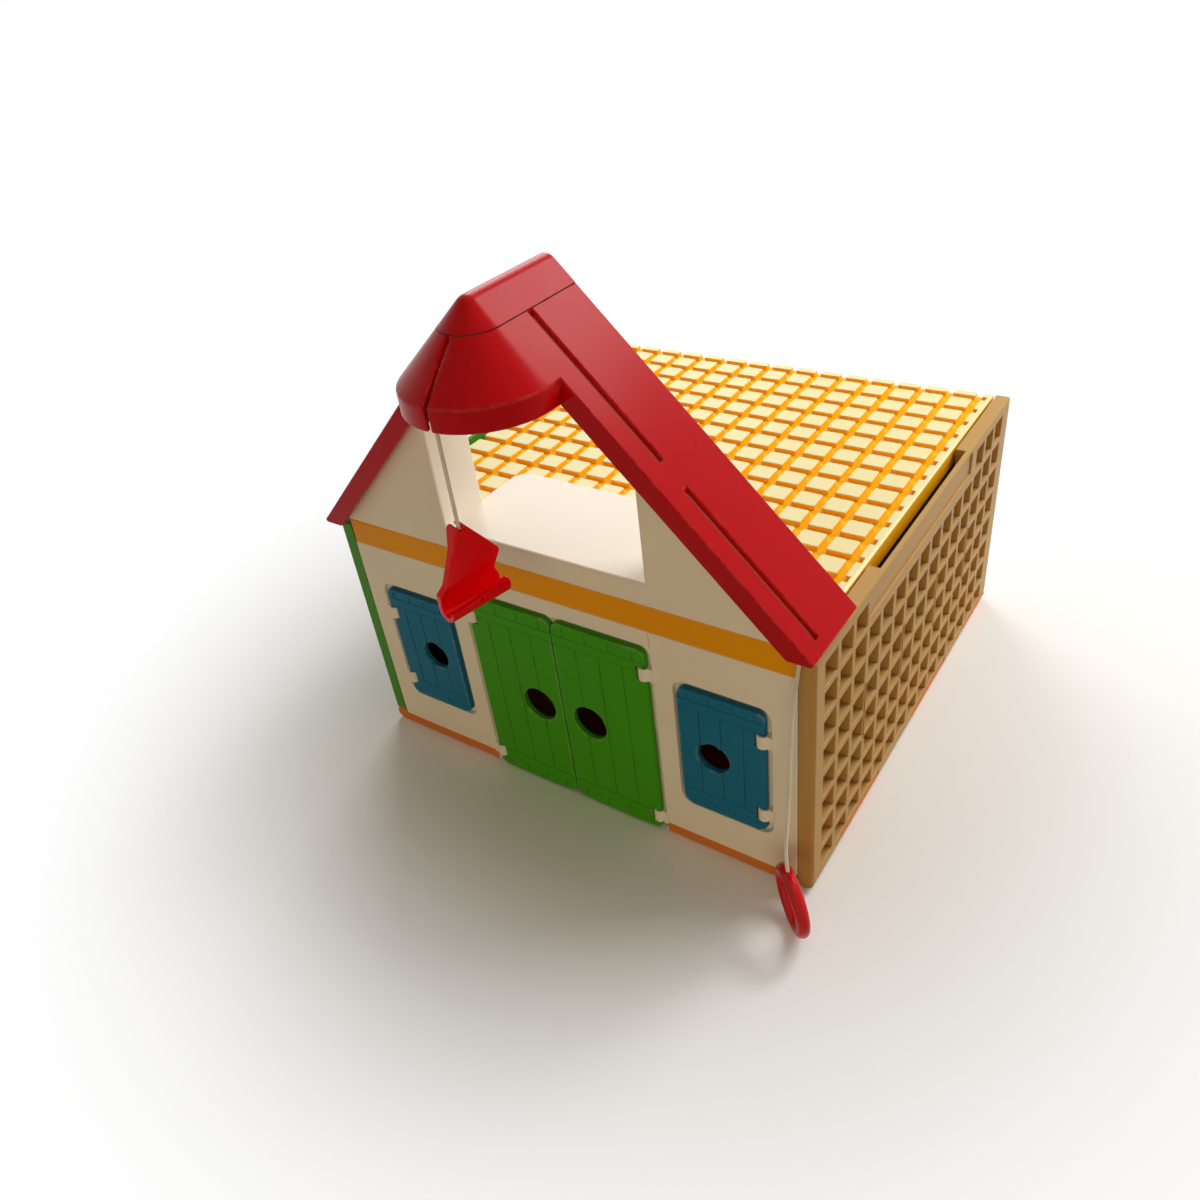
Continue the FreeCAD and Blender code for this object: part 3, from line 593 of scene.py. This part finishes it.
# %% Lattice sides, hook and ring
side_pieces = [moulding("flap_right", 0.5 * millimetre, steps=2),
               moulding("flap_left", 0.5 * millimetre, steps=2)]
hook_piece = moulding("hay_hook", 0.6 * millimetre, steps=4)
ring_piece = moulding("pull_ring", 0.3 * millimetre)

# %% [markdown]
# The cord's three stretches are measured here from the same lines that its strands follow,
# and their total length is printed.

# %% Measure the cords
line_length(roof_run_line)
line_length(hook_drop_line)
line_length(ring_drop_line)
print("cord in all:", round(sum(map(line_length, (hook_drop_line, roof_run_line,
                                                   ring_drop_line))), 3), "m")

# %% [markdown]
# ## Finishes
# A finish is a small network of shader nodes. Writing it as sums and products keeps it readable,
# so one class wraps a socket and turns arithmetic into Math nodes, and one method adds any other
# node: its kind, its settings, then the values or links of its sockets.

# %% A small language for finishes


class Signal:
    """One output of a shader node; arithmetic on it adds Math nodes."""

    def __init__(self, finish, socket):
        self.finish = finish
        self.socket = socket

    def maths(self, operation, first, second):
        return self.finish.node("Math", {"operation": operation}, {0: first, 1: second})

    def __add__(self, other):
        return self.maths("ADD", self, other)

    __radd__ = __add__

    def __sub__(self, other):
        return self.maths("SUBTRACT", self, other)

    def __rsub__(self, other):
        return self.maths("SUBTRACT", other, self)

    def __mul__(self, other):
        return self.maths("MULTIPLY", self, other)

    __rmul__ = __mul__

    def __gt__(self, other):
        return self.maths("GREATER_THAN", self, other)

    def __lt__(self, other):
        return self.maths("LESS_THAN", self, other)


class Finish:
    """The node tree of one material, or of the sky."""

    def __init__(self, owner):
        self.owner = owner
        self.owner.use_nodes = True
        self.tree = self.owner.node_tree
        self.tree.nodes.clear()

    def node(self, kind, settings=None, sockets=None, out=0):
        """Add a node: its settings first, then the values or links of its sockets."""
        made = self.tree.nodes.new("ShaderNode" + kind)
        for key, value in (settings or {}).items():
            setattr(made, key, value)
        for key, value in (sockets or {}).items():
            if isinstance(value, Signal):
                self.tree.links.new(value.socket, made.inputs[key])
            else:
                made.inputs[key].default_value = value
        return Signal(self, made.outputs[out]) if len(made.outputs) else None

    def place(self):
        """Object coordinates."""
        return self.node("TexCoord", out="Object")

    def noise(self, place, scale, detail=2.0, roughness=0.5):
        """Smooth noise from 0 to 1."""
        return self.node("TexNoise", None, {"Vector": place, "Scale": scale, "Detail": detail,
                                            "Roughness": roughness}, "Fac")

    def between(self, value, low, high):
        """0 below low, 1 above high and a smooth step between."""
        return self.node("MapRange", {"interpolation_type": "SMOOTHSTEP"},
                         {"Value": value, "From Min": low, "From Max": high})

    def blend(self, amount, first, second):
        """A colour between two colours."""
        return self.node("Mix", {"data_type": "RGBA"}, {0: amount, 6: first, 7: second}, 2)

    def apply(self, *pieces):
        """Give pieces this finish alone."""
        for piece in pieces:
            piece.data.materials.clear()
            piece.data.materials.append(self.owner)


def paint(red, green, blue, share=1.0):
    """A screen colour from 0 to 255 as a shader's linear colour, made lighter or darker."""
    channels = []
    for level in (red, green, blue):
        level = level / 255
        linear = level / 12.92 if level < 0.04045 else ((level + 0.055) / 1.055) ** 2.4
        channels.append(min(linear * share, 1.0))
    return (*channels, 1.0)


print("pure white is", paint(255, 255, 255))

# %% [markdown]
# Toy plastic is dyed through, so its colour is even, but it isn't flat: the mould gives it a fine
# grain and faint waves, handling polishes its edges and leaves scuffs that scatter the light, and
# the dye drifts a little over the part. Each of those is one line in the finish, at its real scale.

# %% Moulded plastic
grain_size = 0.55 * millimetre
drift_per_metre = 14
waves_per_metre = 32
patches_per_metre = 26
scuffs_per_metre = 150
rubs_per_metre = 210
scuff_stretch = (1.0, 7.0, 1.6)
scuff_turn = (0.4, 0.9, 0.3)
scuff_limits = (0.66, 0.76)
patch_limits = (0.42, 0.66)
rub_limits = (0.36, 0.62)
scuff_colour = paint(240, 232, 222)
rub_colour = paint(250, 240, 228)
dark_dye = 0.93
light_dye = 1.06
drift_haze = 0.1
scuff_haze = 0.18
rub_polish = 0.06
wave_height = 0.6
scuff_height = 0.05
relief_strength = 0.25
relief_depth = 0.35 * millimetre
plastic_ior = 1.49


def moulded_plastic(name, colour, roughness, shine=0.18, grain=0.12, wear=0.1, shade=None):
    """Dyed plastic with mould grain, drift in the dye, scuffs and rubbed edges."""
    finish = Finish(bpy.data.materials.new(name))
    place = finish.place()
    drift = finish.noise(place, drift_per_metre, 3.0, 0.55)
    grain_bumps = finish.noise(place, 1 / grain_size, 2.0, 0.6)
    waves = finish.noise(place, waves_per_metre, 1.0)
    stretched = finish.node("Mapping", None, {"Vector": place, "Scale": scuff_stretch,
                                              "Rotation": scuff_turn})
    scuffs = finish.between(finish.noise(stretched, scuffs_per_metre, 5.0, 0.7), *scuff_limits)
    patches = finish.between(finish.noise(place, patches_per_metre, 2.0), *patch_limits)
    scuffs = scuffs * patches
    rounded = finish.node("Attribute", {"attribute_name": "edge"}, None, "Fac")
    rub_spots = finish.noise(place, rubs_per_metre, 4.0, 0.65)
    rubbed = rounded * finish.between(rub_spots, *rub_limits)
    dark = paint(*colour, dark_dye)
    light = paint(*colour, light_dye)
    body = finish.blend(drift, dark, light)
    # A shade, where given, paints light or shade into the dye.
    if shade:
        body = shade(finish, place, rounded, body)
    body = finish.blend(scuffs * wear, body, scuff_colour)
    body = finish.blend(rubbed * wear, body, rub_colour)
    gloss = roughness + (drift - 0.5) * drift_haze + scuffs * scuff_haze - rubbed * rub_polish
    relief = grain_bumps * grain + waves * wave_height - scuffs * scuff_height
    bumps = finish.node("Bump", None, {"Strength": relief_strength, "Distance": relief_depth,
                                       "Height": relief})
    surface = finish.node("BsdfPrincipled", None, {
        "Base Color": body, "Roughness": gloss, "Normal": bumps, "IOR": plastic_ior,
        "Specular IOR Level": shine})
    finish.node("OutputMaterial", None, {"Surface": surface})
    print(name, "nodes:", len(finish.tree.nodes))
    return finish


# %% [markdown]
# Three kinds of part need more than one tone, and each of them is painted light or shade. The plank
# grooves of the leaves get painted shade and the seam under the ridge cap a painted shadow, while
# the deck behind the gable is painted a lighter yellow, with painted glare on its pad tops. A level
# along one axis finds each of them, so no second material is needed.

# %% Painted shade, shadow and glare that follow depth
leaf_front = -146.5 * millimetre
groove_start = 0.2 * millimetre
groove_floor = 0.45 * millimetre
groove_end = 0.7 * millimetre
pad_top = 154.0 * millimetre
pad_tone_depth = 0.7 * millimetre
pad_tone_edge = 0.1 * millimetre
pad_tone_above = 0.3 * millimetre
gable_back = -113.0 * millimetre
seam_half = 0.3 * millimetre
groove_shade_colour = paint(14, 24, 8)
groove_shade_share = 0.15
deck_painted_light = paint(255, 192, 18)
pad_glare_colour = paint(247, 240, 186)
pad_glare_share = 0.9
seam_shadow_red = paint(110, 0, 4)
seam_shadow_share = 0.9


def painted_groove_shade(finish, place, rounded, body):
    """Paint shade into the plank grooves, which lie just behind the leaf's front."""
    depth = finish.node("SeparateXYZ", None, {0: place}, "Y") - leaf_front
    inside = (finish.between(depth, groove_start, groove_floor)
              * (depth < groove_end) * (1 - rounded))
    # Painted shade: the grooves are blended towards a near-black green.
    return finish.blend(inside * groove_shade_share, body, groove_shade_colour)


def painted_pad_glare(finish, place, rounded, body):
    """Paint light on the deck behind the gable, and painted glare on its highest pad tops."""
    height = finish.node("SeparateXYZ", None, {0: place}, "Z")
    behind = finish.node("SeparateXYZ", None, {0: place}, "Y") > gable_back
    tops = (finish.between(height, pad_top - pad_tone_depth, pad_top - pad_tone_edge)
            * (height < pad_top + pad_tone_above))
    # Painted light: the deck behind the gable is a lighter yellow than the front band of the same
    # plastic.
    body = finish.blend(behind, body, deck_painted_light)
    # Painted glare: the pad tops are made pale cream.
    return finish.blend(tops * behind * pad_glare_share, body, pad_glare_colour)


def painted_seam_shadow(finish, place, rounded, body):
    """Paint a shadow into the thin seam between the ridge cap and the roof."""
    height = finish.node("SeparateXYZ", None, {0: place}, "Z")
    seam = (height > seam_level - seam_half) * (height < seam_level + seam_half)
    # Painted shadow: a dark red line at the seam's height.
    return finish.blend(seam * seam_shadow_share, body, seam_shadow_red)


print("groove, pad and seam shades are ready")

# %% [markdown]
# Each dye and polish is one finish. Its numbers are the dye as it looks in plain light, the
# roughness and how much it shines: the hook and the ring are polished, the roof a little less,
# and the planks, the lattice and the tray are nearly matt. The hook's and the ring's reds are
# one red painted lighter and darker, for the light that each of them gets.

# %% Finish the plastic pieces
cream = moulded_plastic("cream_plastic", (245, 237, 221), 0.4, shine=0.3)
yellow = moulded_plastic("yellow_plastic", (251, 168, 6), 0.36, shine=0.1, shade=painted_pad_glare)
red = moulded_plastic("red_plastic", (196, 2, 10), 0.27, shine=0.1, wear=0.03, shade=painted_seam_shadow)
# Painted light: the hook's red is painted lighter than the ring's.
lit_hook_red = moulded_plastic("hook_red_plastic", (250, 2, 16), 0.16, shine=0.12, grain=0.03,
                           wear=0.02)
# Painted shade: the ring's red is the same red painted darker.
shaded_ring_red = moulded_plastic("ring_red_plastic", (208, 2, 12), 0.12, shine=0.2, grain=0.03,
                           wear=0.02)
green = moulded_plastic("green_plastic", (78, 150, 38), 0.42, shine=0.1)
plank_green = moulded_plastic("plank_green_plastic", (70, 163, 25), 0.42, shine=0.08,
                              shade=painted_groove_shade)
plank_blue = moulded_plastic("plank_blue_plastic", (32, 117, 158), 0.42, shine=0.08,
                             shade=painted_groove_shade)
tan = moulded_plastic("tan_plastic", (194, 153, 90), 0.42, shine=0.14)
orange = moulded_plastic("orange_plastic", (224, 126, 54), 0.42, shine=0.1)
cream.apply(*cream_pieces)
yellow.apply(deck_piece)
red.apply(*roof_pieces)
lit_hook_red.apply(hook_piece)
shaded_ring_red.apply(ring_piece)
plank_green.apply(*door_pieces)
plank_blue.apply(*shutter_pieces)
tan.apply(side_pieces[0])
green.apply(side_pieces[1])
orange.apply(tray)

# %% [markdown]
# The cord's strands are already shaped, so its finish only adds what is finer than a strand:
# fibres that run across the light, a little grey where it is handled, and hardly any shine.

# %% Cord fibres
fibre_size = 0.12 * millimetre
fibre_depth = 0.1 * millimetre
fibre_strength = 0.4
fibre_haze = 0.1
handled_per_metre = 60
handled_limits = (0.45, 0.7)
handled_share = 0.25
fibre_shade = paint(234, 228, 214)
fibre_white = paint(255, 252, 246)
handled_grey = paint(200, 188, 168)
cord_roughness = 0.85
cord_shine = 0.2
cord_finish = Finish(bpy.data.materials.new("cord_fibre"))
cord_place = cord_finish.place()
fibres = cord_finish.noise(cord_place, 1 / fibre_size, 3.0, 0.6)
handling = cord_finish.between(cord_finish.noise(cord_place, handled_per_metre, 3.0),
                               *handled_limits)
cord_colour = cord_finish.blend(fibres, fibre_shade, fibre_white)
cord_colour = cord_finish.blend(handling * handled_share, cord_colour, handled_grey)
cord_bumps = cord_finish.node("Bump", None, {"Strength": fibre_strength, "Distance": fibre_depth,
                                             "Height": fibres})
cord_gloss = cord_roughness + (fibres - 0.5) * fibre_haze
cord_surface = cord_finish.node("BsdfPrincipled", None, {
    "Base Color": cord_colour, "Roughness": cord_gloss, "Normal": cord_bumps,
    "Specular IOR Level": cord_shine})
cord_finish.node("OutputMaterial", None, {"Surface": cord_surface})
cord_finish.apply(*cord_pieces)
print("cord nodes:", len(cord_finish.tree.nodes))

# %% [markdown]
# ## Floor, sky and lamps
# The photograph has daylight from behind and above, so the deck is bright and the front lies in
# soft, warm shade. One softbox stands for a window behind the left corner, whose glare lies on
# the level tops, two for a window behind the right corner, of which only the upper one shows its
# glare, high on the roof, and one for the ceiling. A warm fill from the front stands for the room.
# The floor is pale where it is seen and duller for the light that it bounces, and it fades out to
# a white sky.

# %% Floor
floor_radius = 1.5
fade_start = 0.18
fade_end = 0.46
floor_level = -0.3 * millimetre
floor_shell = bmesh.new()
bmesh.ops.create_circle(floor_shell, cap_ends=True, segments=96, radius=floor_radius)
floor_mesh = bpy.data.meshes.new("floor")
floor_shell.to_mesh(floor_mesh)
floor_shell.free()
floor_mesh.transform(Matrix.Translation((0, 0, floor_level)))
floor = bpy.data.objects.new("floor", floor_mesh)
bpy.context.scene.collection.objects.link(floor)
floor_finish = Finish(bpy.data.materials.new("floor_paper"))
seen_floor = paint(248, 248, 247)
bounce_floor = paint(206, 190, 166)


def seen_rays(finish):
    """1 for rays that show the background: from the camera, in gloss or through glass."""
    light_path = finish.tree.nodes.new("ShaderNodeLightPath")
    camera_ray = Signal(finish, light_path.outputs["Is Camera Ray"])
    gloss_ray = Signal(finish, light_path.outputs["Is Glossy Ray"])
    glass_ray = Signal(finish, light_path.outputs["Is Transmission Ray"])
    return camera_ray + gloss_ray + glass_ray > 0.5


floor_place = floor_finish.place()
distance = floor_finish.node("VectorMath", {"operation": "LENGTH"}, {0: floor_place}, "Value")
floor_colour = floor_finish.blend(seen_rays(floor_finish), bounce_floor, seen_floor)
floor_paper = floor_finish.node("BsdfDiffuse", None, {"Color": floor_colour})
floor_clear = floor_finish.node("BsdfTransparent")
fade = floor_finish.between(distance, fade_start, fade_end)
floor_finish.node("OutputMaterial", None, {"Surface": floor_finish.node(
    "MixShader", None, {0: fade, 1: floor_paper, 2: floor_clear})})
floor_finish.apply(floor)
print("floor across:", 2 * floor_radius, "m")

# %% [markdown]
# The sky has two jobs: it is the white background that the camera and the gloss see, and it is a
# weak warm light from all sides. A mix by the kind of ray lets one world do both.

# %% Sky
sky_light = 0.15
warm_sky = (1, 0.85, 0.62, 1)
white_sky = (1, 1, 1, 1)
sky = bpy.data.worlds.new("sky")
bpy.context.scene.world = sky
sky_finish = Finish(sky)
sky_seen = seen_rays(sky_finish)
sky_colour = sky_finish.blend(sky_seen, warm_sky, white_sky)
sky_strength = sky_light + sky_seen * (1 - sky_light)
sky_shine = sky_finish.node("Background", None, {"Color": sky_colour,
                                                 "Strength": sky_strength})
sky_finish.node("OutputWorld", None, {"Surface": sky_shine})
print("sky lights the barn at", sky_light)

# %% [markdown]
# Windows and a room give soft light, so every lamp is a wide rectangle. Each is turned to face the
# middle of the barn, which is easier to read than three angles.

# %% Lamps


def softbox(name, place, aim, width, height, power, tint, glare=True):
    """A rectangular lamp that faces a point, with or without its glare on shiny faces."""
    lamp = bpy.data.lights.new(name, "AREA")
    lamp.shape = "RECTANGLE"
    lamp.size = width
    lamp.size_y = height
    lamp.energy = power
    lamp.color = tint
    holder = bpy.data.objects.new(name, lamp)
    holder.location = place
    holder.visible_glossy = glare
    holder.rotation_mode = "QUATERNION"
    holder.rotation_quaternion = (Vector(aim) - Vector(place)).to_track_quat("-Z", "Y")
    bpy.context.scene.collection.objects.link(holder)
    print(name, "power:", power)


daylight = (1, 0.995, 0.985)
room_light = (1, 0.8, 0.5)
barn_middle = (0, 0, 0.15)
softbox("left_window_lamp", (-0.62, 0.78, 0.85), barn_middle, width=0.6, height=0.6,
        power=5.2, tint=daylight)
softbox("right_window_lamp", (0.78, 0.86, 0.84), barn_middle, width=0.8, height=0.8,
        power=11.0, tint=daylight, glare=False)
softbox("upper_window_lamp", (0.42, 0.88, 1.16), barn_middle, width=0.4, height=0.4,
        power=5.6, tint=daylight)
softbox("ceiling_lamp", (0.1, 0.1, 1.5), barn_middle, width=1.0, height=1.0,
        power=1.8, tint=daylight)
softbox("room_lamp", (0.5, -1.28, 0.3), barn_middle, width=1.3, height=0.7,
        power=4.3, tint=room_light, glare=False)
bpy.context.scene.view_settings.view_transform = "Standard"
